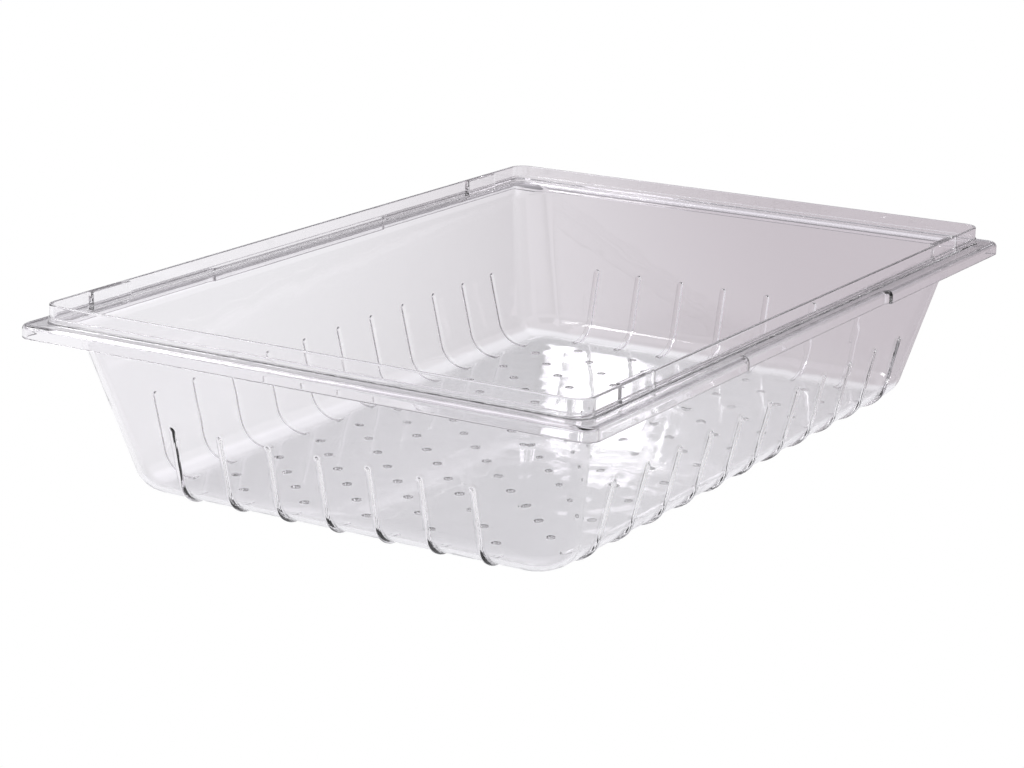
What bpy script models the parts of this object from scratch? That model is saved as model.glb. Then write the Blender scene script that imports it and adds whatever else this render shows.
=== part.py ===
"""Full-size clear drain pan (colander) for a 26 x 18 in food box.

Units are metres, +Z is up. The origin is under the middle of the pan, at the level of the
rib feet it stands on. X is the long axis and Y the short one.

The pan is moulded in one go from clear plastic. It is built here as its members: the
perforated floor, four drafted walls, four corner walls, the rim in eight lengths, the
upstanding lip, four nesting pads inside the lip and the stand-off ribs outside the walls.
Neighbouring members stop JOINT short of each other, so that each is a solid of its own.
"""

from math import cos, pi, radians, sin, sqrt, tan

import bmesh
import bpy

# Overall
LENGTH = 0.6604
WIDTH = 0.4572
HEIGHT = 0.1395
JOINT = 0.0003

# Floor and drain holes
FLOOR_UNDER = 0.0020
SKIN = 0.0030
HOLE_DIAMETER = 0.0060
HOLE_PITCH = 0.0261
HOLES_EACH_WAY_X = 9
HOLES_EACH_WAY_Y = 5
HOLE_SIDES = 12

# Walls: half sizes of the outer face where it would meet the lip's top level
WALL_HALF_X = 0.3149
WALL_HALF_Y = 0.2079
DRAFT = radians(13.7)
FOOT_RADIUS = 0.0250
FOOT_STEPS = 6
PLAN_RADIUS_TOP = 0.0280
PLAN_RADIUS_FOOT = 0.0320
CORNER_STEPS = 7

# Rounded shoulder that turns the wall out into the ledge under the lip
SHOULDER_RADIUS_X = 0.0075
SHOULDER_RADIUS_Y = 0.0135
SHOULDER_HEIGHTS = (0.1158, 0.1182, 0.1205, 0.1228, 0.1245, 0.1256)

# Rim: a flat flange with a rounded edge and a skirt hanging from it
FLANGE_TOP = 0.1262
FLANGE_UNDER = 0.1232
SKIRT_BOTTOM = 0.1162
EDGE_RADIUS = 0.0040
RIM_PLAN_RADIUS = 0.0105
GRIP_HALF_LENGTH = 0.1130
GRIP_RUN_OUT = 0.0050
GRIP_DEPTH = 0.0034

# Lip: stands on the flange, thicker at its base
LIP_INSET = 0.0127
LIP_THICK = 0.0026
LIP_PLAN_RADIUS = 0.0130
LIP_BASE_TOP = 0.1304
LIP_BASE_EXTRA = 0.0008

# Nesting pads on the inside of the long lips
PAD_NEAR_MIDDLE = 0.2260
PAD_NEAR_CORNER = 0.2700
PAD_THICK = 0.0035

# Stand-off ribs: half-round strips down the walls and round the foot of the pan
RIB_TOP = 0.0620
RIB_WIDTH = 0.0056
RIB_PROUD = 0.0020
RIB_UNDER_FLOOR = 0.0040
RIB_PITCH_LONG = 0.0457
RIB_PITCH_SHORT = 0.0405
RIBS_EACH_WAY_LONG = 5
RIBS_EACH_WAY_SHORT = 3

LIP_HALF_X = LENGTH / 2 - LIP_INSET
LIP_HALF_Y = WIDTH / 2 - LIP_INSET
FOOT_CENTRE_Z = FLOOR_UNDER + FOOT_RADIUS
FOOT_TOP = FOOT_CENTRE_Z - FOOT_RADIUS * sin(DRAFT)


def wall_half(half, z):
    """Half size of the drafted outer face at height z."""
    return half - tan(DRAFT) * (HEIGHT - z)


def foot_centre(half):
    """Centre line of the radius that joins this wall to the floor."""
    return wall_half(half, FOOT_CENTRE_Z) - FOOT_RADIUS / cos(DRAFT)


def shoulder_half(half, radius, top, z):
    """Half size at height z of a face that is drafted, then rounds out to level at top."""
    arc = radius * tan(pi / 4 - DRAFT / 2)
    start = top - arc * cos(DRAFT)
    if z <= start:
        return wall_half(half, z)
    centre = wall_half(half, start) + radius * cos(DRAFT)
    up = min(z - (start - radius * sin(DRAFT)), radius)
    return centre - sqrt(radius * radius - up * up)


FLOOR_HALF_X = foot_centre(WALL_HALF_X)
FLOOR_HALF_Y = foot_centre(WALL_HALF_Y)
FLOOR_PLAN_RADIUS = PLAN_RADIUS_FOOT - FOOT_RADIUS * cos(DRAFT)


def clear_scene():
    for old in list(bpy.data.objects):
        bpy.data.objects.remove(old, do_unlink=True)


def clear_plastic():
    material = bpy.data.materials.new("clear_polycarbonate")
    material.use_nodes = True
    shader = material.node_tree.nodes["Principled BSDF"]
    shader.inputs["Base Color"].default_value = (0.86, 0.85, 0.88, 1.0)
    shader.inputs["Roughness"].default_value = 0.06
    shader.inputs["Metallic"].default_value = 0.0
    shader.inputs["Alpha"].default_value = 0.35
    material.diffuse_color = (0.86, 0.85, 0.88, 0.35)
    return material


def add_solid(name, points, faces, smooth_above=None):
    """One closed solid from points and faces, with its faces turned outwards."""
    mesh = bpy.data.meshes.new(name)
    mesh.from_pydata(points, [], faces)
    work = bmesh.new()
    work.from_mesh(mesh)
    bmesh.ops.recalc_face_normals(work, faces=work.faces)
    if work.calc_volume(signed=True) < 0:
        bmesh.ops.reverse_faces(work, faces=work.faces)
    work.to_mesh(mesh)
    work.free()
    solid = bpy.data.objects.new(name, mesh)
    solid.data.materials.append(PLASTIC)
    bpy.context.scene.collection.objects.link(solid)
    if smooth_above is not None:
        mesh.polygons.foreach_set("use_smooth", [True] * len(mesh.polygons))
        mesh.set_sharp_from_angle(angle=smooth_above)
    return solid


def shell(name, outer, inner, ring=False):
    """A solid between two skins. outer[s][k] and inner[s][k] are matching points:
    s counts the stations along the member, k the points across its section."""
    stations, across = len(outer), len(outer[0])
    points = [p for line in outer for p in line] + [p for line in inner for p in line]
    inside = stations * across
    faces = []
    for s in range(stations if ring else stations - 1):
        here, there = s * across, (s + 1) % stations * across
        for k in range(across - 1):
            a, b, c, d = here + k, here + k + 1, there + k + 1, there + k
            faces.append((a, b, c, d))
            faces.append((inside + d, inside + c, inside + b, inside + a))
        for k in (0, across - 1):
            faces.append((here + k, there + k, inside + there + k, inside + here + k))
    if not ring:
        for start in (0, (stations - 1) * across):
            for k in range(start, start + across - 1):
                faces.append((k, k + 1, inside + k + 1, inside + k))
    return add_solid(name, points, faces, radians(35))


# A section is a list of levels. Each level is (half x, half y, plan radius, z): a rounded
# rectangle, of which a member takes one straight side or one corner.


def side_point(level, axis, sign, along, shorter=JOINT):
    """A point on a straight side. along runs from -1 to 1 between the corner arcs."""
    half_x, half_y, radius, z = level
    if axis == "x":
        return (sign * half_x, along * (half_y - radius - shorter), z)
    return (along * (half_x - radius - shorter), sign * half_y, z)


def corner_point(level, sign_x, sign_y, turn):
    """A point on a corner arc. turn runs from 0 on the X side to 1 on the Y side."""
    half_x, half_y, radius, z = level
    x = half_x - radius + radius * cos(turn * pi / 2)
    y = half_y - radius + radius * sin(turn * pi / 2)
    return (sign_x * x, sign_y * y, z)


def side_member(name, outer, inner, axis, sign):
    ends = (-1.0, 1.0)
    shell(
        name,
        [[side_point(level, axis, sign, end) for level in outer] for end in ends],
        [[side_point(level, axis, sign, end) for level in inner] for end in ends],
    )


def corner_member(name, outer, inner, sign_x, sign_y):
    turns = [step / CORNER_STEPS for step in range(CORNER_STEPS + 1)]
    shell(
        name,
        [[corner_point(level, sign_x, sign_y, t) for level in outer] for t in turns],
        [[corner_point(level, sign_x, sign_y, t) for level in inner] for t in turns],
    )


SIDES = {"left": ("x", -1), "right": ("x", 1), "front": ("y", -1), "back": ("y", 1)}
CORNERS = {
    "front_left": (-1, -1),
    "front_right": (1, -1),
    "back_left": (-1, 1),
    "back_right": (1, 1),
}


def foot_levels(radius):
    """Levels round the foot, from the floor's edge up to the flat of the wall."""
    levels = []
    for step in range(FOOT_STEPS + 1):
        angle = pi / 2 + (DRAFT - pi / 2) * step / FOOT_STEPS
        out = radius * cos(angle)
        z = FOOT_CENTRE_Z - radius * sin(angle)
        plan = FLOOR_PLAN_RADIUS + out
        levels.append((FLOOR_HALF_X + out, FLOOR_HALF_Y + out, plan, z))
    return levels


def wall_levels():
    """The outer and the inner skin of the walls, from the floor's edge to the rim."""
    outer, inner = foot_levels(FOOT_RADIUS), foot_levels(FOOT_RADIUS - SKIN)
    across = SKIN / cos(DRAFT)
    end_radius = LIP_PLAN_RADIUS - LIP_THICK - JOINT
    for inner_z in SHOULDER_HEIGHTS:
        turned = (inner_z - SHOULDER_HEIGHTS[0]) / (FLANGE_TOP - SHOULDER_HEIGHTS[0])
        plan = PLAN_RADIUS_TOP + turned * (end_radius - PLAN_RADIUS_TOP)
        for levels, set_in, top in ((outer, 0.0, FLANGE_UNDER), (inner, across, FLANGE_TOP)):
            z = inner_z - (FLANGE_TOP - top) * turned
            radius_x = SHOULDER_RADIUS_X - (FLANGE_TOP - top)
            radius_y = SHOULDER_RADIUS_Y - (FLANGE_TOP - top)
            if levels is inner:
                radius_x, radius_y = SHOULDER_RADIUS_X, SHOULDER_RADIUS_Y
            half_x = shoulder_half(WALL_HALF_X - set_in, radius_x, top, z)
            half_y = shoulder_half(WALL_HALF_Y - set_in, radius_y, top, z)
            levels.append((half_x, half_y, plan - set_in * (1 - turned), z))
    end_x = LIP_HALF_X - LIP_THICK - JOINT
    end_y = LIP_HALF_Y - LIP_THICK - JOINT
    outer.append((end_x, end_y, end_radius, FLANGE_UNDER))
    inner.append((end_x, end_y, end_radius, FLANGE_TOP))
    return outer, inner


def rim_levels():
    """The top and the underside of the rim, from the lip out and down the skirt."""
    inner_x, inner_y = LIP_HALF_X - LIP_THICK, LIP_HALF_Y - LIP_THICK
    inner_radius = LIP_PLAN_RADIUS - LIP_THICK
    top = [(inner_x, inner_y, inner_radius, FLANGE_TOP)]
    under = [(inner_x, inner_y, inner_radius, FLANGE_UNDER)]
    for step in range(5):
        angle = pi / 2 * step / 4
        for skin, radius in ((top, EDGE_RADIUS), (under, EDGE_RADIUS - SKIN)):
            inset = EDGE_RADIUS - radius * sin(angle)
            z = FLANGE_TOP - EDGE_RADIUS + radius * cos(angle)
            plan = RIM_PLAN_RADIUS - inset
            skin.append((LENGTH / 2 - inset, WIDTH / 2 - inset, plan, z))
    for skin, inset in ((top, 0.0), (under, SKIN)):
        plan = RIM_PLAN_RADIUS - inset
        skin.append((LENGTH / 2 - inset, WIDTH / 2 - inset, plan, SKIRT_BOTTOM))
    return top, under


def long_rim_member(name, top, under, sign):
    """A long side of the rim, with the grip recess in the middle of its edge."""
    inner_end, full = GRIP_HALF_LENGTH, GRIP_HALF_LENGTH + GRIP_RUN_OUT
    stations = [(None, -1, 0.0), (-full, 0, 0.0), (-inner_end, 0, GRIP_DEPTH)]
    stations += [(inner_end, 0, GRIP_DEPTH), (full, 0, 0.0), (None, 1, 0.0)]

    def line(levels, x, end, depth):
        points = []
        for index, level in enumerate(levels):
            spot = side_point(level, "y", sign, end)
            if x is not None:
                set_back = depth if index else 0.0
                spot = (x, sign * (level[1] - set_back), level[3])
            points.append(spot)
        return points

    shell(
        name,
        [line(top, *station) for station in stations],
        [line(under, *station) for station in stations],
    )


def add_floor():
    plan = []
    for sign_x, sign_y in ((1, 1), (-1, 1), (-1, -1), (1, -1)):
        turns = range(CORNER_STEPS + 1)
        if sign_x != sign_y:
            turns = reversed(turns)
        level = (
            FLOOR_HALF_X - JOINT,
            FLOOR_HALF_Y - JOINT,
            FLOOR_PLAN_RADIUS - JOINT,
            0.0,
        )
        for turn in turns:
            plan.append(corner_point(level, sign_x, sign_y, turn / CORNER_STEPS)[:2])
    count = len(plan)
    points = [(x, y, FLOOR_UNDER) for x, y in plan]
    points += [(x, y, FLOOR_UNDER + SKIN) for x, y in plan]
    faces = [tuple(range(count)), tuple(range(count, 2 * count))]
    for k in range(count):
        after = (k + 1) % count
        faces.append((k, after, count + after, count + k))
    floor = add_solid("floor_perforated", points, faces)

    punch = bmesh.new()
    for i in range(-HOLES_EACH_WAY_X, HOLES_EACH_WAY_X + 1):
        for j in range(-HOLES_EACH_WAY_Y, HOLES_EACH_WAY_Y + 1):
            if (i + j) % 2 == 0:
                continue
            made = bmesh.ops.create_cone(
                punch,
                cap_ends=True,
                segments=HOLE_SIDES,
                radius1=HOLE_DIAMETER / 2,
                radius2=HOLE_DIAMETER / 2,
                depth=3 * SKIN,
            )
            centre = (i * HOLE_PITCH, j * HOLE_PITCH, FLOOR_UNDER + SKIN / 2)
            bmesh.ops.translate(punch, verts=made["verts"], vec=centre)
    mesh = bpy.data.meshes.new("hole_punch")
    punch.to_mesh(mesh)
    punch.free()
    punches = bpy.data.objects.new("hole_punch", mesh)
    punches.hide_render = True
    punches.display_type = "WIRE"
    bpy.context.scene.collection.objects.link(punches)
    cut = floor.modifiers.new("drain_holes", "BOOLEAN")
    cut.operation = "DIFFERENCE"
    cut.solver = "EXACT"
    cut.object = punches


def add_lip():
    base = LIP_BASE_EXTRA
    outer_section = [
        (base, FLANGE_TOP + JOINT),
        (base, LIP_BASE_TOP),
        (0.0, LIP_BASE_TOP + 0.0008),
        (0.0, HEIGHT - 0.0006),
        (-0.0005, HEIGHT),
    ]
    inner_section = [
        (-LIP_THICK, FLANGE_TOP + JOINT),
        (-LIP_THICK, LIP_BASE_TOP),
        (-LIP_THICK, LIP_BASE_TOP + 0.0008),
        (-LIP_THICK, HEIGHT - 0.0006),
        (-LIP_THICK + 0.0005, HEIGHT),
    ]

    def levels(section):
        return [
            (LIP_HALF_X + out, LIP_HALF_Y + out, LIP_PLAN_RADIUS + out, z)
            for out, z in section
        ]

    def stations(section):
        lines = []
        for sign_x, sign_y in ((1, 1), (-1, 1), (-1, -1), (1, -1)):
            turns = range(CORNER_STEPS + 1)
            if sign_x != sign_y:
                turns = reversed(turns)
            for turn in turns:
                share = turn / CORNER_STEPS
                spots = [corner_point(v, sign_x, sign_y, share) for v in levels(section)]
                lines.append(spots)
        return lines

    shell("lip_ring", stations(outer_section), stations(inner_section), ring=True)


def add_pad(name, sign_x, sign_y):
    """A pad against the inner face of a long lip, standing on the ledge."""
    back = LIP_HALF_Y - LIP_THICK - JOINT
    face = back - PAD_THICK
    low, high = FLANGE_TOP + JOINT, HEIGHT - 0.0002
    ease = 0.0008
    outline = [(PAD_NEAR_MIDDLE, back), (PAD_NEAR_MIDDLE, face + ease)]
    outline += [(PAD_NEAR_MIDDLE + ease, face), (PAD_NEAR_CORNER - ease, face)]
    outline += [(PAD_NEAR_CORNER, face + ease), (PAD_NEAR_CORNER, back)]
    points = [(sign_x * x, sign_y * y, z) for z in (low, high) for x, y in outline]
    faces = [tuple(range(6)), tuple(range(6, 12))]
    faces += [(k, (k + 1) % 6, (k + 1) % 6 + 6, k + 6) for k in range(6)]
    add_solid(name, points, faces)


def rib_path(half):
    """Points down a wall and round its foot: (out, z, outward part, upward part)."""
    path = []
    drop = RIB_TOP - FOOT_TOP
    for share in (0.0, 0.03, 0.08, 1.0):
        z = RIB_TOP - share * drop
        path.append((wall_half(half, z), z, cos(DRAFT), -sin(DRAFT)))
    centre = foot_centre(half)
    for step in range(1, FOOT_STEPS + 1):
        angle = DRAFT + (pi / 2 - DRAFT) * step / FOOT_STEPS
        out, z = centre + FOOT_RADIUS * cos(angle), FOOT_CENTRE_Z - FOOT_RADIUS * sin(angle)
        path.append((out, z, cos(angle), -sin(angle)))
    for share in (0.55, 0.85, 1.0):
        path.append((centre - share * RIB_UNDER_FLOOR, FLOOR_UNDER, 0.0, -1.0))
    return path


def add_rib(name, axis, sign, along):
    """A half-round rib with rounded ends, lying JOINT off the outer face of the wall."""
    path = rib_path(WALL_HALF_X if axis == "x" else WALL_HALF_Y)
    fullness = [0.40, 0.80, 1.0] + [1.0] * (len(path) - 6) + [1.0, 0.80, 0.40]
    section = [(-1.0, 0.0), (-0.86, 0.52), (-0.5, 0.87), (0.0, 1.0)]
    section += [(-across, up) for across, up in reversed(section[:-1])]
    points = []
    for (out, z, out_part, up_part), full in zip(path, fullness):
        for across, height in section:
            lift = JOINT + height * (RIB_PROUD - JOINT) * min(1.0, 0.35 + 0.65 * full)
            side = along + across * full * RIB_WIDTH / 2
            away, level = sign * (out + lift * out_part), z + lift * up_part
            points.append((away, side, level) if axis == "x" else (side, away, level))
    count = len(section)
    faces = [tuple(range(count)), tuple(range(len(points) - count, len(points)))]
    for s in range(len(path) - 1):
        here, there = s * count, (s + 1) * count
        for k in range(count):
            after = (k + 1) % count
            faces.append((here + k, here + after, there + after, there + k))
    add_solid(name, points, faces, radians(40))


clear_scene()
PLASTIC = clear_plastic()

add_floor()
wall_outer, wall_inner = wall_levels()
rim_top, rim_under = rim_levels()
for label, (side_axis, side_sign) in SIDES.items():
    side_member("wall_" + label, wall_outer, wall_inner, side_axis, side_sign)
    if side_axis == "x":
        side_member("rim_" + label, rim_top, rim_under, side_axis, side_sign)
    else:
        long_rim_member("rim_" + label, rim_top, rim_under, side_sign)
for label, (corner_x, corner_y) in CORNERS.items():
    corner_member("wall_corner_" + label, wall_outer, wall_inner, corner_x, corner_y)
    corner_member("rim_corner_" + label, rim_top, rim_under, corner_x, corner_y)
    add_pad("nesting_pad_" + label, corner_x, corner_y)
add_lip()
for label, (side_axis, side_sign) in SIDES.items():
    short = side_axis == "x"
    each_way = RIBS_EACH_WAY_SHORT if short else RIBS_EACH_WAY_LONG
    pitch = RIB_PITCH_SHORT if short else RIB_PITCH_LONG
    for number in range(-each_way, each_way + 1):
        rib_name = "rib_%s_%02d" % (label, number + each_way + 1)
        add_rib(rib_name, side_axis, side_sign, number * pitch)
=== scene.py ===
"""Clear drain pan for a full-size food box, on a white studio floor.

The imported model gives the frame. The pan is one moulding, so one continuous clear piece
stands for all of its members here. Units are metres and +Z is up.
"""

from math import cos, pi, radians, sin, sqrt, tan

import bmesh
import bpy
from mathutils import Matrix, Vector
from mathutils.geometry import delaunay_2d_cdt


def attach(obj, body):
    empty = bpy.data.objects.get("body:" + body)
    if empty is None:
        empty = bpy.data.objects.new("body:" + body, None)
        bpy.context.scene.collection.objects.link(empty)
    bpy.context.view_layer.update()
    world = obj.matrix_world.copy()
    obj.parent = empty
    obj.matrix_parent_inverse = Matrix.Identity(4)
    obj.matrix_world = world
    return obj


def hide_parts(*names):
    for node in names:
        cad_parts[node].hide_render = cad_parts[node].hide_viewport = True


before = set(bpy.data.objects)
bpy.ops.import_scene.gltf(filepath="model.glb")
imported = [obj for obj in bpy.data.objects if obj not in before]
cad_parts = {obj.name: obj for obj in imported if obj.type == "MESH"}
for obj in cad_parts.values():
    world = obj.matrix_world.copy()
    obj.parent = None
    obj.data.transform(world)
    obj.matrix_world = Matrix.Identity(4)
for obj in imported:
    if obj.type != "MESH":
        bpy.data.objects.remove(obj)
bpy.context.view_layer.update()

# ---------------------------------------------------------------- sizes of the pan

LENGTH, WIDTH, HEIGHT = 0.6604, 0.4572, 0.1395
SKIN = 0.0030
FLOOR_UNDER = 0.0020
HOLE_RADIUS, HOLE_EASE, HOLE_PITCH = 0.0030, 0.0006, 0.0261
HOLES_EACH_WAY_X, HOLES_EACH_WAY_Y = 9, 5
HOLE_SIDES = 20

WALL_HALF_X, WALL_HALF_Y = 0.3149, 0.2079
DRAFT = radians(13.7)
FOOT_RADIUS, FOOT_STEPS = 0.0250, 12
PLAN_RADIUS_TOP, PLAN_RADIUS_FOOT = 0.0280, 0.0320
SHOULDER_RADIUS_X, SHOULDER_RADIUS_Y, SHOULDER_STEPS = 0.0075, 0.0135, 9

FLANGE_TOP, FLANGE_UNDER, SKIRT_BOTTOM = 0.1262, 0.1232, 0.1162
EDGE_RADIUS, RIM_PLAN_RADIUS = 0.0040, 0.0105
GRIP_HALF_LENGTH, GRIP_RUN_OUT, GRIP_DEPTH = 0.1130, 0.0050, 0.0034

LIP_INSET, LIP_THICK, LIP_PLAN_RADIUS = 0.0127, 0.0026, 0.0130
LIP_BASE_TOP, LIP_BASE_EXTRA, LIP_STEP = 0.1304, 0.0008, 0.0008
PAD_NEAR_MIDDLE, PAD_NEAR_CORNER, PAD_THICK, PAD_EASE = 0.2258, 0.2700, 0.0035, 0.0014

RIB_TOP, RIB_WIDTH, RIB_PROUD, RIB_UNDER_FLOOR = 0.0620, 0.0056, 0.0020, 0.0040
RIB_PITCH_LONG, RIB_PITCH_SHORT = 0.0457, 0.0405
RIBS_EACH_WAY_LONG, RIBS_EACH_WAY_SHORT = 5, 3

SHOULDER_START = 0.1158
LEDGE_EASE = 0.0005
LEDGE_PLAN_RADIUS = LIP_PLAN_RADIUS - LIP_THICK + LEDGE_EASE

# Small rounds and fillets of the rim, and the loops that keep the flat faces beside a bend flat.
RIM_FILLET, SKIRT_ROUND, LIP_FILLET, LIP_CROWN = 0.0010, 0.0008, 0.0006, 0.0008
GUARD, NEAR_GUARD, HOLE_GUARD, FLOOR_GUARD, PAD_GUARD = 0.0012, 0.0006, 0.0005, 0.0010, 0.0008
PLATE_RUN = 0.0050

CORNER_STEPS = 18
LIP_HALF_X, LIP_HALF_Y = LENGTH / 2 - LIP_INSET, WIDTH / 2 - LIP_INSET
FOOT_CENTRE_Z = FLOOR_UNDER + FOOT_RADIUS

# Where the loops lie that shape a rib's two ends: in from the floor's edge, and down from its top.
RIB_END_INSETS = (0.0050, 0.0040, 0.0038, 0.0034, 0.0028, 0.0020, 0.0012, 0.0005)
RIB_TOP_DROPS = (0.0056, 0.0042, 0.0028, 0.0020, 0.0013, 0.0007, 0.0003, 0.0, -0.0008)


def wall_half(half, z):
    return half - tan(DRAFT) * (HEIGHT - z)


def foot_centre(half):
    return wall_half(half, FOOT_CENTRE_Z) - FOOT_RADIUS / cos(DRAFT)


FOOT_TOP = FOOT_CENTRE_Z - FOOT_RADIUS * sin(DRAFT)
FLOOR_HALF_X, FLOOR_HALF_Y = foot_centre(WALL_HALF_X), foot_centre(WALL_HALF_Y)
FLOOR_PLAN_RADIUS = PLAN_RADIUS_FOOT - FOOT_RADIUS * cos(DRAFT)

# ---------------------------------------------------------------- the moulding's section
# A level is one loop round the pan: half x, half y, plan radius, z and what bends it.
# For a rib level, lean is the outward and upward part of the rib's direction, and run is
# how far the level is from the nearer end of the rib, along it.


def level(half_x, half_y, radius, z, kind="plain", lean=(0.0, 0.0), run=0.0):
    return {
        "half": (half_x, half_y),
        "radius": radius,
        "z": z,
        "kind": kind,
        "lean": lean,
        "run": run,
    }


def outer_levels():
    """The outside, from under the floor up to the shoulder."""
    levels = []
    for inset in RIB_END_INSETS:
        plan = FLOOR_PLAN_RADIUS - inset
        run = RIB_UNDER_FLOOR - inset
        half_x, half_y = FLOOR_HALF_X - inset, FLOOR_HALF_Y - inset
        levels.append(level(half_x, half_y, plan, FLOOR_UNDER, "rib", (0.0, -1.0), run))
    for step in range(FOOT_STEPS + 1):
        angle = pi / 2 + (DRAFT - pi / 2) * step / FOOT_STEPS
        out = FOOT_RADIUS * cos(angle)
        z = FOOT_CENTRE_Z - FOOT_RADIUS * sin(angle)
        lean = (cos(angle), -sin(angle))
        half_x, half_y = FLOOR_HALF_X + out, FLOOR_HALF_Y + out
        levels.append(level(half_x, half_y, FLOOR_PLAN_RADIUS + out, z, "rib", lean, 1.0))
    heights = [FOOT_TOP + GUARD] + [RIB_TOP - drop for drop in RIB_TOP_DROPS]
    lean = (cos(DRAFT), -sin(DRAFT))
    for z in heights:
        half_x, half_y = wall_half(WALL_HALF_X, z), wall_half(WALL_HALF_Y, z)
        plan = plan_radius_at(z)
        levels.append(level(half_x, half_y, plan, z, "rib", lean, (RIB_TOP - z) / cos(DRAFT)))
    return levels


def plan_radius_at(z):
    """The plan radius of the drafted wall, which tightens from the foot to the shoulder."""
    share = (z - FOOT_TOP) / (SHOULDER_START - FOOT_TOP)
    return PLAN_RADIUS_FOOT + share * (PLAN_RADIUS_TOP - PLAN_RADIUS_FOOT)


def shoulder_point(half, radius, top, share):
    """A face that is drafted, then rounds out to level at top: its half size and height."""
    arc = radius * tan(pi / 4 - DRAFT / 2)
    start = top - arc * cos(DRAFT)
    turn = share * (pi / 2 - DRAFT)
    centre_half = wall_half(half, start) + radius * cos(DRAFT)
    centre_z = start - radius * sin(DRAFT)
    return centre_half - radius * cos(DRAFT + turn), centre_z + radius * sin(DRAFT + turn)


def shoulder_levels(set_in, top, thinner):
    """The rounded shoulder. Its height differs between the long and the short sides."""
    levels = []
    for step in range(-1, SHOULDER_STEPS + 1):
        share = max(0.0, step / SHOULDER_STEPS)
        radius_x, radius_y = SHOULDER_RADIUS_X - thinner, SHOULDER_RADIUS_Y - thinner
        half_x, z_x = shoulder_point(WALL_HALF_X - set_in, radius_x, top, share)
        half_y, z_y = shoulder_point(WALL_HALF_Y - set_in, radius_y, top, share)
        if step < 0:
            z_x, z_y = z_x - GUARD, z_y - GUARD
            half_x = wall_half(WALL_HALF_X - set_in, z_x)
            half_y = wall_half(WALL_HALF_Y - set_in, z_y)
        plan = (PLAN_RADIUS_TOP - set_in) * (1 - share) + LEDGE_PLAN_RADIUS * share
        levels.append(level(half_x, half_y, plan, (z_x, z_y)))
    return levels


def rim_level(inset, z, kind="edge"):
    return level(LENGTH / 2 - inset, WIDTH / 2 - inset, RIM_PLAN_RADIUS - inset, z, kind)


def lip_level(out, z, kind="plain"):
    return level(LIP_HALF_X + out, LIP_HALF_Y + out, LIP_PLAN_RADIUS + out, z, kind)


def arc_steps(count):
    return [pi / 2 * step / count for step in range(count + 1)]


def rim_levels():
    """From the plate's underside, down inside the skirt, up over the edge to the lip."""
    levels = [rim_level(SKIN + RIM_FILLET + PLATE_RUN, FLANGE_UNDER, "plain")]
    for angle in arc_steps(4):
        inset = SKIN + RIM_FILLET * (1 - sin(angle))
        levels.append(rim_level(inset, FLANGE_UNDER - RIM_FILLET * (1 - cos(angle))))
    levels.append(rim_level(SKIN, SKIRT_BOTTOM + SKIRT_ROUND + NEAR_GUARD))
    for angle in arc_steps(4):
        inset = SKIN - SKIRT_ROUND * (1 - cos(angle))
        levels.append(rim_level(inset, SKIRT_BOTTOM + SKIRT_ROUND * (1 - sin(angle))))
    for angle in arc_steps(4):
        inset = SKIRT_ROUND * (1 - sin(angle))
        levels.append(rim_level(inset, SKIRT_BOTTOM + SKIRT_ROUND * (1 - cos(angle))))
    levels.append(rim_level(0.0, FLANGE_TOP - EDGE_RADIUS - NEAR_GUARD))
    for angle in arc_steps(8):
        inset = EDGE_RADIUS * (1 - cos(angle))
        levels.append(rim_level(inset, FLANGE_TOP - EDGE_RADIUS * (1 - sin(angle))))
    levels.append(rim_level(EDGE_RADIUS + NEAR_GUARD, FLANGE_TOP))
    return levels


def lip_levels():
    """From the flange up the outside of the lip, over its top and down to the ledge."""
    levels = [lip_level(LIP_BASE_EXTRA + GUARD, FLANGE_TOP)]
    for angle in arc_steps(3):
        out = LIP_BASE_EXTRA + LIP_FILLET * (1 - sin(angle))
        levels.append(lip_level(out, FLANGE_TOP + LIP_FILLET * (1 - cos(angle))))
    levels.append(lip_level(LIP_BASE_EXTRA, LIP_BASE_TOP - LIP_STEP))
    for share in (0.0, 0.35, 0.75, 1.0):
        out = LIP_BASE_EXTRA * (1 - share * share)
        levels.append(lip_level(out, LIP_BASE_TOP - LIP_STEP / 2 + LIP_STEP * share))
    levels.append(lip_level(0.0, LIP_BASE_TOP + LIP_STEP / 2 + NEAR_GUARD))
    levels.append(lip_level(0.0, HEIGHT - LIP_CROWN - NEAR_GUARD))
    for angle in arc_steps(4):
        out = -LIP_CROWN * (1 - cos(angle))
        levels.append(lip_level(out, HEIGHT - LIP_CROWN * (1 - sin(angle))))
    for angle in arc_steps(4):
        out = -LIP_THICK + LIP_CROWN * (1 - sin(angle))
        z = HEIGHT - LIP_CROWN * (1 - cos(angle))
        levels.append(lip_level(out, z, "lip_inside"))
    levels.append(lip_level(-LIP_THICK, HEIGHT - LIP_CROWN - NEAR_GUARD, "lip_inside"))
    levels.append(lip_level(-LIP_THICK, FLANGE_TOP + GUARD, "lip_inside"))
    for angle in arc_steps(3):
        out = -LIP_THICK - LIP_FILLET * (1 - cos(angle))
        levels.append(lip_level(out, FLANGE_TOP + LIP_FILLET * (1 - sin(angle)), "lip_inside"))
    return levels


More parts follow.
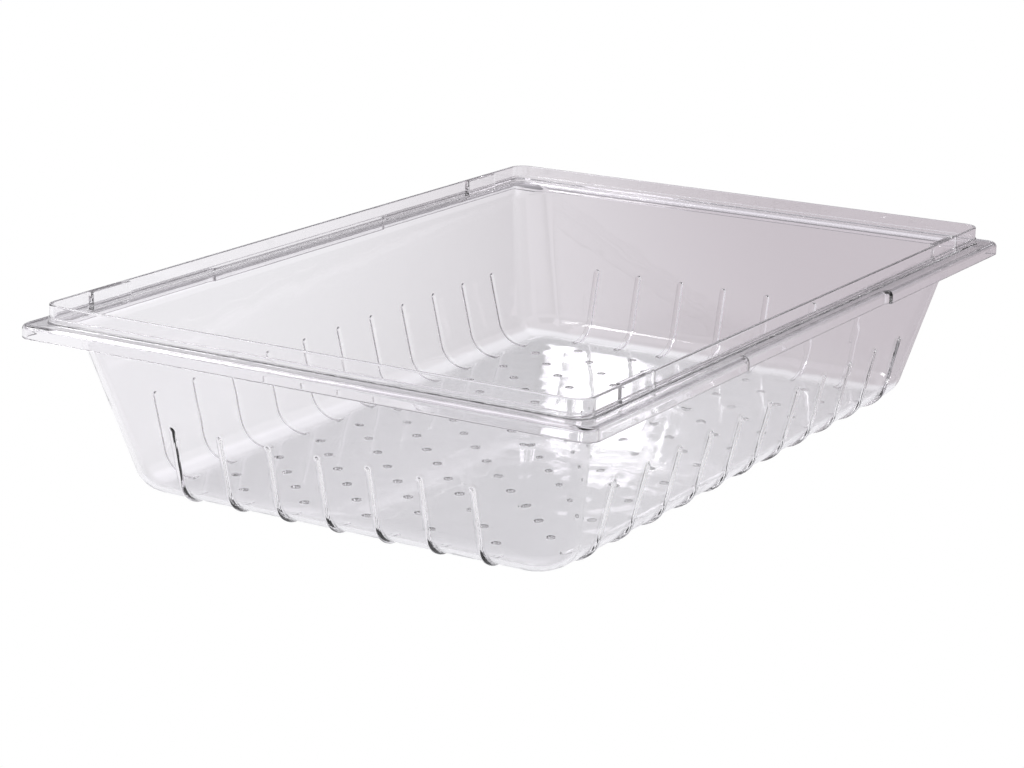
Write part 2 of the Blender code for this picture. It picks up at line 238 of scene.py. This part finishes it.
def inner_levels():
    """The inside, from the drafted wall down round the foot to the floor's edge."""
    radius = FOOT_RADIUS - SKIN
    across = SKIN / cos(DRAFT)
    z = FOOT_CENTRE_Z - radius * sin(DRAFT) + GUARD
    half_x = wall_half(WALL_HALF_X - across, z)
    half_y = wall_half(WALL_HALF_Y - across, z)
    levels = [level(half_x, half_y, plan_radius_at(z) - across, z)]
    for step in range(FOOT_STEPS, -1, -1):
        angle = pi / 2 + (DRAFT - pi / 2) * step / FOOT_STEPS
        out = radius * cos(angle)
        z = FOOT_CENTRE_Z - radius * sin(angle)
        half_x, half_y = FLOOR_HALF_X + out, FLOOR_HALF_Y + out
        levels.append(level(half_x, half_y, FLOOR_PLAN_RADIUS + out, z))
    half_x, half_y = FLOOR_HALF_X - FLOOR_GUARD, FLOOR_HALF_Y - FLOOR_GUARD
    plan = FLOOR_PLAN_RADIUS - FLOOR_GUARD
    levels.append(level(half_x, half_y, plan, FLOOR_UNDER + SKIN))
    return levels


# ---------------------------------------------------------------- stations round the pan
# A station is a place on one side, as a distance along it from the middle, or on a corner
# arc. Ribs, pads and the grip recess lie at fixed distances; beyond them the stations
# spread so that the last one reaches the start of the corner arc at every level.

FIXED_LONG, FIXED_SHORT = 0.2345, 0.1300
ACROSS_RIB = (-1.3, -1.0, -0.94, -0.78, -0.5, -0.2, 0.2, 0.5, 0.78, 0.94, 1.0, 1.3)
ACROSS_PAD_END = (1.4, 1.0, 0.6, 0.3, 0.1, 0.0)
ACROSS_GRIP_END = (-0.3, 0.0, 0.15, 0.35, 0.5, 0.65, 0.85, 1.0, 1.3)
LAST_GAP = 0.0016


def both_ways(spots):
    return {spot * sign for spot in spots for sign in (1, -1)}


def rib_places(pitch, each_way):
    numbers = range(-each_way, each_way + 1)
    return {number * pitch + across * RIB_WIDTH / 2 for number in numbers for across in ACROSS_RIB}


def long_places():
    reach = LIP_HALF_X - LIP_PLAN_RADIUS
    spots = [PAD_NEAR_CORNER - share * PAD_EASE for share in ACROSS_PAD_END]
    spots += [PAD_NEAR_CORNER + PAD_GUARD, reach - LAST_GAP, reach]
    spots += [GRIP_HALF_LENGTH + share * GRIP_RUN_OUT for share in ACROSS_GRIP_END]
    return sorted(rib_places(RIB_PITCH_LONG, RIBS_EACH_WAY_LONG) | both_ways(spots))


def short_places():
    reach = LIP_HALF_Y - LIP_PLAN_RADIUS
    ribs = rib_places(RIB_PITCH_SHORT, RIBS_EACH_WAY_SHORT)
    return sorted(ribs | both_ways((reach - LAST_GAP, reach)))


def along_side(place, fixed, reach, end):
    """Where a station falls at a level whose straight side ends at end."""
    if abs(place) <= fixed:
        return place
    moved = fixed + (abs(place) - fixed) * (end - fixed) / (reach - fixed)
    return moved if place > 0 else -moved


def rib_lift(place, pitch, each_way, run):
    """How far the outer face stands out where a rib crosses it."""
    number = round(place / pitch)
    if abs(number) > each_way or run <= 0:
        return 0.0
    across = abs(place - number * pitch) / (RIB_WIDTH / 2)
    short_of_end = max(0.0, 1.0 - run / (RIB_WIDTH / 2))
    away = across * across + short_of_end * short_of_end
    return RIB_PROUD * (1.0 - away) if away < 1.0 else 0.0


def pad_lift(place):
    spot = abs(place)
    if not PAD_NEAR_MIDDLE < spot < PAD_NEAR_CORNER:
        return 0.0
    share = min(1.0, (spot - PAD_NEAR_MIDDLE) / PAD_EASE, (PAD_NEAR_CORNER - spot) / PAD_EASE)
    return PAD_THICK * sqrt(1.0 - (1.0 - share) ** 2)


def grip_lift(place):
    share = (GRIP_HALF_LENGTH + GRIP_RUN_OUT - abs(place)) / GRIP_RUN_OUT
    share = min(1.0, max(0.0, share))
    return GRIP_DEPTH * share * share * (3 - 2 * share)


def side_point(one, long_side, place):
    """The point of a level at a place on the +X or +Y side, as (away, along, z)."""
    half_x, half_y = one["half"]
    away, half_along = (half_y, half_x) if long_side else (half_x, half_y)
    fixed = FIXED_LONG if long_side else FIXED_SHORT
    lip_half = LIP_HALF_X if long_side else LIP_HALF_Y
    end = half_along - one["radius"]
    along = along_side(place, fixed, lip_half - LIP_PLAN_RADIUS, end)
    z = one["z"][1 if long_side else 0] if isinstance(one["z"], tuple) else one["z"]
    if one["kind"] == "rib":
        pitch = RIB_PITCH_LONG if long_side else RIB_PITCH_SHORT
        each_way = RIBS_EACH_WAY_LONG if long_side else RIBS_EACH_WAY_SHORT
        lift = rib_lift(place, pitch, each_way, one["run"])
        away, z = away + lift * one["lean"][0], z + lift * one["lean"][1]
    elif one["kind"] == "lip_inside" and long_side:
        away -= pad_lift(place)
    elif one["kind"] == "edge" and long_side:
        away -= grip_lift(place)
    return away, along, z


def corner_point(one, turn):
    """The point of a level on the +X +Y corner arc, from the X side to the Y side."""
    half_x, half_y = one["half"]
    radius, z = one["radius"], one["z"]
    if isinstance(z, tuple):
        blend = turn * turn * (3 - 2 * turn)
        z = z[0] * (1 - blend) + z[1] * blend
    x = half_x - radius + radius * cos(turn * pi / 2)
    y = half_y - radius + radius * sin(turn * pi / 2)
    return x, y, z


def loop_points(one, long_stations, short_stations):
    """All the points of a level, going round from the -Y end of the +X side."""
    turns = [step / CORNER_STEPS for step in range(1, CORNER_STEPS)]
    points = []
    for sign_x, sign_y in ((1, 1), (-1, 1), (-1, -1), (1, -1)):
        long_side = sign_x != sign_y
        places = long_stations if long_side else short_stations
        for place in places[::sign_x]:
            away, along, z = side_point(one, long_side, place)
            points.append((along, sign_y * away, z) if long_side else (sign_x * away, along, z))
        for turn in turns[:: sign_x * sign_y]:
            x, y, z = corner_point(one, turn)
            points.append((sign_x * x, sign_y * y, z))
    return points


# ---------------------------------------------------------------- the mesh

SHARP_ANGLE = radians(40)
WITHIN_OUTLINE, MERGE_DISTANCE = 1, 1e-7


def hole_centres():
    for i in range(-HOLES_EACH_WAY_X, HOLES_EACH_WAY_X + 1):
        for j in range(-HOLES_EACH_WAY_Y, HOLES_EACH_WAY_Y + 1):
            if (i + j) % 2:
                yield i * HOLE_PITCH, j * HOLE_PITCH


def hole_edge():
    """The eased edge of a drain hole, as its radius and how deep that lies in the floor."""
    turns = [(sin(angle), 1 - cos(angle)) for angle in arc_steps(3)]
    flat = [(HOLE_RADIUS + HOLE_EASE + HOLE_GUARD, 0.0)]
    return flat + [(HOLE_RADIUS + HOLE_EASE * (1 - out), HOLE_EASE * deep) for out, deep in turns]


def hole_loop(x, y, radius, z):
    turns = [2 * pi * k / HOLE_SIDES for k in range(HOLE_SIDES)]
    return [(x + radius * cos(turn), y + radius * sin(turn), z) for turn in turns]


def floor_triangles(ring, holes):
    """Triangles of a flat floor between its outline and its holes, as indices into
    ring followed by the points of each hole."""
    flat = [Vector(p[:2]) for p in ring]
    edges = [(k, (k + 1) % len(ring)) for k in range(len(ring))]
    for hole in holes:
        start = len(flat)
        flat += [Vector(p[:2]) for p in hole]
        edges += [(start + k, start + (k + 1) % len(hole)) for k in range(len(hole))]
    made = delaunay_2d_cdt(flat, edges, [], WITHIN_OUTLINE, MERGE_DISTANCE)
    found = []
    for face in made[2]:
        spots = [made[3][k][0] for k in face]
        owners = {(k - len(ring)) // HOLE_SIDES if k >= len(ring) else -1 for k in spots}
        if len(owners) > 1 or owners == {-1}:
            found.append(spots)
    return found


def bridge(faces, low, high, count):
    """Quads between two loops of count points, which start at low and at high."""
    for k in range(count):
        after = (k + 1) % count
        faces.append((low + k, low + after, high + after, high + k))


def pan_levels():
    """The whole section: outside, flange, lip, inside, from the floor's underside to its top."""
    levels = outer_levels()
    levels += shoulder_levels(0.0, FLANGE_UNDER, SKIN)
    levels += rim_levels()
    levels += lip_levels()
    levels += reversed(shoulder_levels(SKIN / cos(DRAFT), FLANGE_TOP, 0.0))
    levels += inner_levels()
    return levels


def pan_faces():
    """The points and faces of the moulding. Each drain hole joins the floor's two faces."""
    levels = pan_levels()
    long_stations, short_stations = long_places(), short_places()
    points = []
    for one in levels:
        points += loop_points(one, long_stations, short_stations)
    around = len(points) // len(levels)
    top_start = len(points) - around
    faces = []
    for low in range(0, top_start, around):
        bridge(faces, low, low + around, around)
    bores = [[] for _ in hole_centres()]
    for z, ring_start, facing in ((FLOOR_UNDER, 0, -1), (FLOOR_UNDER + SKIN, top_start, 1)):
        lookup = list(range(ring_start, ring_start + around))
        holes = []
        for bore, (x, y) in zip(bores, hole_centres()):
            loops = [hole_loop(x, y, radius, z - facing * deep) for radius, deep in hole_edge()]
            starts = [len(points) + k * HOLE_SIDES for k in range(len(loops))]
            bore += starts[::-facing]
            lookup += range(starts[0], starts[0] + HOLE_SIDES)
            holes.append(loops[0])
            for loop in loops:
                points += loop
        ring = points[ring_start : ring_start + around]
        for face in floor_triangles(ring, holes):
            faces.append(tuple(lookup[k] for k in face[::facing]))
    for bore in bores:
        for low, high in zip(bore, bore[1:]):
            bridge(faces, low, high, HOLE_SIDES)
    return points, faces


def build_pan():
    points, faces = pan_faces()
    mesh = bpy.data.meshes.new("pan_moulding")
    mesh.from_pydata(points, [], faces)
    work = bmesh.new()
    work.from_mesh(mesh)
    bmesh.ops.recalc_face_normals(work, faces=work.faces)
    work.to_mesh(mesh)
    work.free()
    mesh.polygons.foreach_set("use_smooth", [True] * len(mesh.polygons))
    mesh.set_sharp_from_angle(angle=SHARP_ANGLE)
    pan = bpy.data.objects.new("pan_moulding", mesh)
    bpy.context.scene.collection.objects.link(pan)
    return pan


# ---------------------------------------------------------------- materials


class Graph:
    """Short calls for making and joining shader nodes."""

    def __init__(self, tree):
        self.tree = tree

    def set(self, socket, value):
        if isinstance(value, bpy.types.NodeSocket):
            self.tree.links.new(value, socket)
        else:
            socket.default_value = value

    def node(self, kind, inputs=(), **settings):
        made = self.tree.nodes.new(kind)
        for key, value in settings.items():
            setattr(made, key, value)
        for key, value in dict(inputs).items():
            self.set(made.inputs[key], value)
        return made

    def dot(self, vector, along):
        sockets = {0: vector, 1: tuple(along)}
        return self.node("ShaderNodeVectorMath", sockets, operation="DOT_PRODUCT").outputs["Value"]

    def ease(self, value, start, end, low=0.0, high=1.0):
        sockets = {"Value": value, "From Min": start, "From Max": end, "To Min": low, "To Max": high}
        made = self.node("ShaderNodeMapRange", sockets, interpolation_type="SMOOTHSTEP")
        return made.outputs["Result"]

    def band(self, value, start, end, soft):
        """1 between start and end, easing to 0 over soft outside them."""
        rise = self.ease(value, start - soft, start)
        return self.maths("MULTIPLY", rise, self.ease(value, end + soft, end))

    def maths(self, operation, *values):
        return self.node("ShaderNodeMath", dict(enumerate(values)), operation=operation).outputs[0]

    def mix(self, share, one, other):
        made = self.node("ShaderNodeMix", {0: share, 6: one, 7: other}, data_type="RGBA")
        return made.outputs[2]

    def noise(self, place, scale, detail):
        sockets = {"Vector": place, "Scale": scale, "Detail": detail}
        return self.node("ShaderNodeTexNoise", sockets).outputs[0]


def rgb(red, green, blue):
    return (red, green, blue, 1.0)


WAVE_SCALE, WAVE_DETAIL, WAVE_STRENGTH, WAVE_DEPTH = 30.0, 1.0, 0.2, 0.001
HAZE_SCALE, HAZE_DETAIL, HAZE_FROM_TO, ROUGHNESS_RANGE = 38.0, 5.0, (0.45, 0.75), (0.008, 0.045)
REFRACTIVE_INDEX = 1.58


def clear_polycarbonate():
    """Clear moulded plastic: faintly wavy from the mould, and hazed here and there by use."""
    material = bpy.data.materials.new("clear_polycarbonate")
    material.use_nodes = True
    g = Graph(material.node_tree)
    shader = material.node_tree.nodes["Principled BSDF"]
    g.set(shader.inputs["Base Color"], rgb(0.985, 0.980, 0.988))
    g.set(shader.inputs["IOR"], REFRACTIVE_INDEX)
    g.set(shader.inputs["Transmission Weight"], 1.0)
    place = g.node("ShaderNodeTexCoord").outputs["Object"]
    haze = g.ease(g.noise(place, HAZE_SCALE, HAZE_DETAIL), *HAZE_FROM_TO, *ROUGHNESS_RANGE)
    g.set(shader.inputs["Roughness"], haze)
    wave = g.noise(place, WAVE_SCALE, WAVE_DETAIL)
    sockets = {"Strength": WAVE_STRENGTH, "Distance": WAVE_DEPTH, "Height": wave}
    bump = g.node("ShaderNodeBump", sockets)
    g.set(shader.inputs["Normal"], bump.outputs[0])
    return material


pan = build_pan()
pan.data.materials.append(clear_polycarbonate())
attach(pan, "root")
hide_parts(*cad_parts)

# ---------------------------------------------------------------- stage, light and camera

CAMERA_AZIMUTH, CAMERA_ELEVATION, CAMERA_ROLL = radians(31.001), radians(15.288), radians(1.082)
CAMERA_PLACE = (-1.75898, -1.02941, 0.60184)
LENS, SENSOR = 98.71, 36.0

BEHIND = Vector((cos(CAMERA_AZIMUTH), sin(CAMERA_AZIMUTH), 0.0))
RIGHT = Vector((sin(CAMERA_AZIMUTH), -cos(CAMERA_AZIMUTH), 0.0))

# How bright a part of the studio is. Clear plastic shows its shape by what stands round it,
# so the light is behind and at the sides, and the camera's side is black.
BLACK, DARK, MID, ROOM, PALE, BRIGHT = 0.05, 0.2, 0.5, 0.6, 0.8, 1.2
CAST = (1.0, 0.96, 1.03)

# The studio's sectors: azimuth from and to, then how bright the lower and upper parts are.
# Azimuth 0 is straight behind the pan and grows leftward, in degrees. FRONT goes both ways.
SECTORS = (
    (-30, 30, DARK, PALE),
    (30, 80, MID, BRIGHT),
    (80, 140, PALE, BRIGHT),
    (-80, -30, DARK, BRIGHT),
    (-130, -80, DARK, MID),
)
FRONT = (150, 210, BLACK, BLACK)
LOWER, UPPER, PANEL_SOFT = (-20, 22), (40, 60), 4
SLIT_AZIMUTH, SLIT_ELEVATION, SLIT_SOFT, SLIT_TONE = (-2.8, -1.2), (12, 17), 0.3, 2.0

TABLE_TONE = (0.72, 0.72, 0.73, 1.0)
# Painted light: the table's glow is a little lighter under the pan.
TABLE_PAINTED_LIGHT_UNDER_PAN = (0.74, 0.74, 0.76, 1.0)
# Painted shade: the table's glow is darker and pinkish towards the far right.
TABLE_PAINTED_SHADE_FAR_RIGHT = (0.36, 0.32, 0.34, 1.0)
TABLE_HALF = 8.0
# How far the painted shade eases in, rightward and backward.
SHADE_EASE_RIGHTWARD, SHADE_EASE_BACKWARD = (-0.3, 0.3), (-0.3, 0.4)
# Where the painted light under the pan lies, and how softly it ends.
UNDER_HALF_X, UNDER_HALF_Y, UNDER_SOFT = 0.285, 0.180, 0.010

SOFTBOX_PLACE, SOFTBOX_SIZE, SOFTBOX_WATTS = (-1.08, 1.58, 1.64), (0.8, 0.5), 9.0


def cast(brightness):
    return rgb(*(brightness * part for part in CAST))


def studio_table():
    """White where the camera sees it bare. Through the plastic it is a pale grey table,
    pinkish and darker at the far right from painted shade, and a little lighter under the pan from
    painted light."""
    material = bpy.data.materials.new("studio_table")
    material.use_nodes = True
    tree = material.node_tree
    tree.nodes.clear()
    g = Graph(tree)
    place = g.node("ShaderNodeNewGeometry").outputs["Position"]
    rightward = g.ease(g.dot(place, RIGHT), *SHADE_EASE_RIGHTWARD)
    backward = g.ease(g.dot(place, BEHIND), *SHADE_EASE_BACKWARD)
    # Painted shade: mixes the table towards a darker, pinkish tone at the far right.
    tone = g.mix(g.maths("MULTIPLY", rightward, backward), TABLE_TONE, TABLE_PAINTED_SHADE_FAR_RIGHT)
    # Painted light: a box under the pan where the table's glow is a little lighter.
    painted_light_under = g.maths(
        "MULTIPLY",
        g.band(g.dot(place, (1, 0, 0)), -UNDER_HALF_X, UNDER_HALF_X, UNDER_SOFT),
        g.band(g.dot(place, (0, 1, 0)), -UNDER_HALF_Y, UNDER_HALF_Y, UNDER_SOFT),
    )
    tone = g.mix(painted_light_under, tone, TABLE_PAINTED_LIGHT_UNDER_PAN)
    glow = g.node("ShaderNodeEmission", {"Color": tone, "Strength": 1.0}).outputs[0]
    matt = g.node("ShaderNodeBsdfDiffuse", {"Color": rgb(0.3, 0.3, 0.3)}).outputs[0]
    table = g.node("ShaderNodeAddShader", {0: glow, 1: matt}).outputs[0]
    white = g.node("ShaderNodeEmission", {"Color": rgb(1, 1, 1), "Strength": 1.0}).outputs[0]
    seen = g.node("ShaderNodeLightPath").outputs["Is Camera Ray"]
    both = g.node("ShaderNodeMixShader", {0: seen, 1: table, 2: white}).outputs[0]
    g.node("ShaderNodeOutputMaterial", {"Surface": both})
    return material


def studio_world():
    """The studio round the pan: its sectors over an even room, and a slit of light behind.
    The camera sees plain white behind the table."""
    world = bpy.data.worlds.new("studio")
    world.use_nodes = True
    tree = world.node_tree
    tree.nodes.clear()
    g = Graph(tree)
    aim = g.node("ShaderNodeTexCoord").outputs["Generated"]
    height = g.maths("DEGREES", g.maths("ARCSINE", g.dot(aim, (0.0, 0.0, 1.0))))
    leftward = g.maths("ARCTAN2", g.dot(aim, -RIGHT), g.dot(aim, BEHIND))
    leftward = g.maths("DEGREES", leftward)
    either_way = g.maths("ABSOLUTE", leftward)
    tone = cast(ROOM)
    for azimuth, sectors in ((leftward, SECTORS), (either_way, (FRONT,))):
        for start, end, lower, upper in sectors:
            across = g.band(azimuth, start, end, PANEL_SOFT)
            for span, brightness in ((LOWER, lower), (UPPER, upper)):
                share = g.maths("MULTIPLY", across, g.band(height, *span, PANEL_SOFT))
                tone = g.mix(share, tone, cast(brightness))
    slit = g.maths(
        "MULTIPLY",
        g.band(leftward, *SLIT_AZIMUTH, SLIT_SOFT),
        g.band(height, *SLIT_ELEVATION, SLIT_SOFT),
    )
    tone = g.mix(slit, tone, cast(SLIT_TONE))
    seen = g.node("ShaderNodeLightPath").outputs["Is Camera Ray"]
    tone = g.mix(seen, tone, rgb(1, 1, 1))
    glow = g.node("ShaderNodeBackground", {"Color": tone, "Strength": 1.0}).outputs[0]
    g.node("ShaderNodeOutputWorld", {"Surface": glow})
    return world


def add_floor():
    corners = [(-TABLE_HALF, -TABLE_HALF, 0), (TABLE_HALF, -TABLE_HALF, 0)]
    corners += [(TABLE_HALF, TABLE_HALF, 0), (-TABLE_HALF, TABLE_HALF, 0)]
    floor_mesh = bpy.data.meshes.new("studio_floor")
    floor_mesh.from_pydata(corners, [], [(0, 1, 2, 3)])
    floor = bpy.data.objects.new("studio_floor", floor_mesh)
    floor.data.materials.append(studio_table())
    bpy.context.scene.collection.objects.link(floor)


def add_softbox():
    """A softbox high on the left, facing the pan."""
    softbox = bpy.data.lights.new("softbox", "AREA")
    softbox.shape = "RECTANGLE"
    softbox.size, softbox.size_y = SOFTBOX_SIZE
    softbox.energy = SOFTBOX_WATTS
    lamp = bpy.data.objects.new("softbox", softbox)
    lamp.location = SOFTBOX_PLACE
    lamp.rotation_euler = Vector(SOFTBOX_PLACE).to_track_quat("Z", "Y").to_euler()
    lamp.visible_camera = False
    bpy.context.scene.collection.objects.link(lamp)


def add_camera():
    camera_data = bpy.data.cameras.new("camera")
    camera_data.lens, camera_data.sensor_width = LENS, SENSOR
    camera = bpy.data.objects.new("camera", camera_data)
    bpy.context.scene.collection.objects.link(camera)
    bpy.context.scene.camera = camera
    level_aim = cos(CAMERA_ELEVATION) * BEHIND
    forward = level_aim - Vector((0.0, 0.0, sin(CAMERA_ELEVATION)))
    up = RIGHT.cross(forward)
    side = cos(CAMERA_ROLL) * RIGHT + sin(CAMERA_ROLL) * up
    above = -sin(CAMERA_ROLL) * RIGHT + cos(CAMERA_ROLL) * up
    turn = Matrix((side, above, -forward)).transposed()
    camera.matrix_world = Matrix.Translation(CAMERA_PLACE) @ turn.to_4x4()


add_floor()
add_softbox()
add_camera()

scene = bpy.context.scene
scene.world = studio_world()
scene.view_settings.view_transform = "Standard"
# Light crosses many faces of clear plastic before it leaves the pan.
scene.cycles.max_bounces = 40
scene.cycles.transmission_bounces = 40
scene.cycles.glossy_bounces = 32
scene.cycles.diffuse_bounces = 4
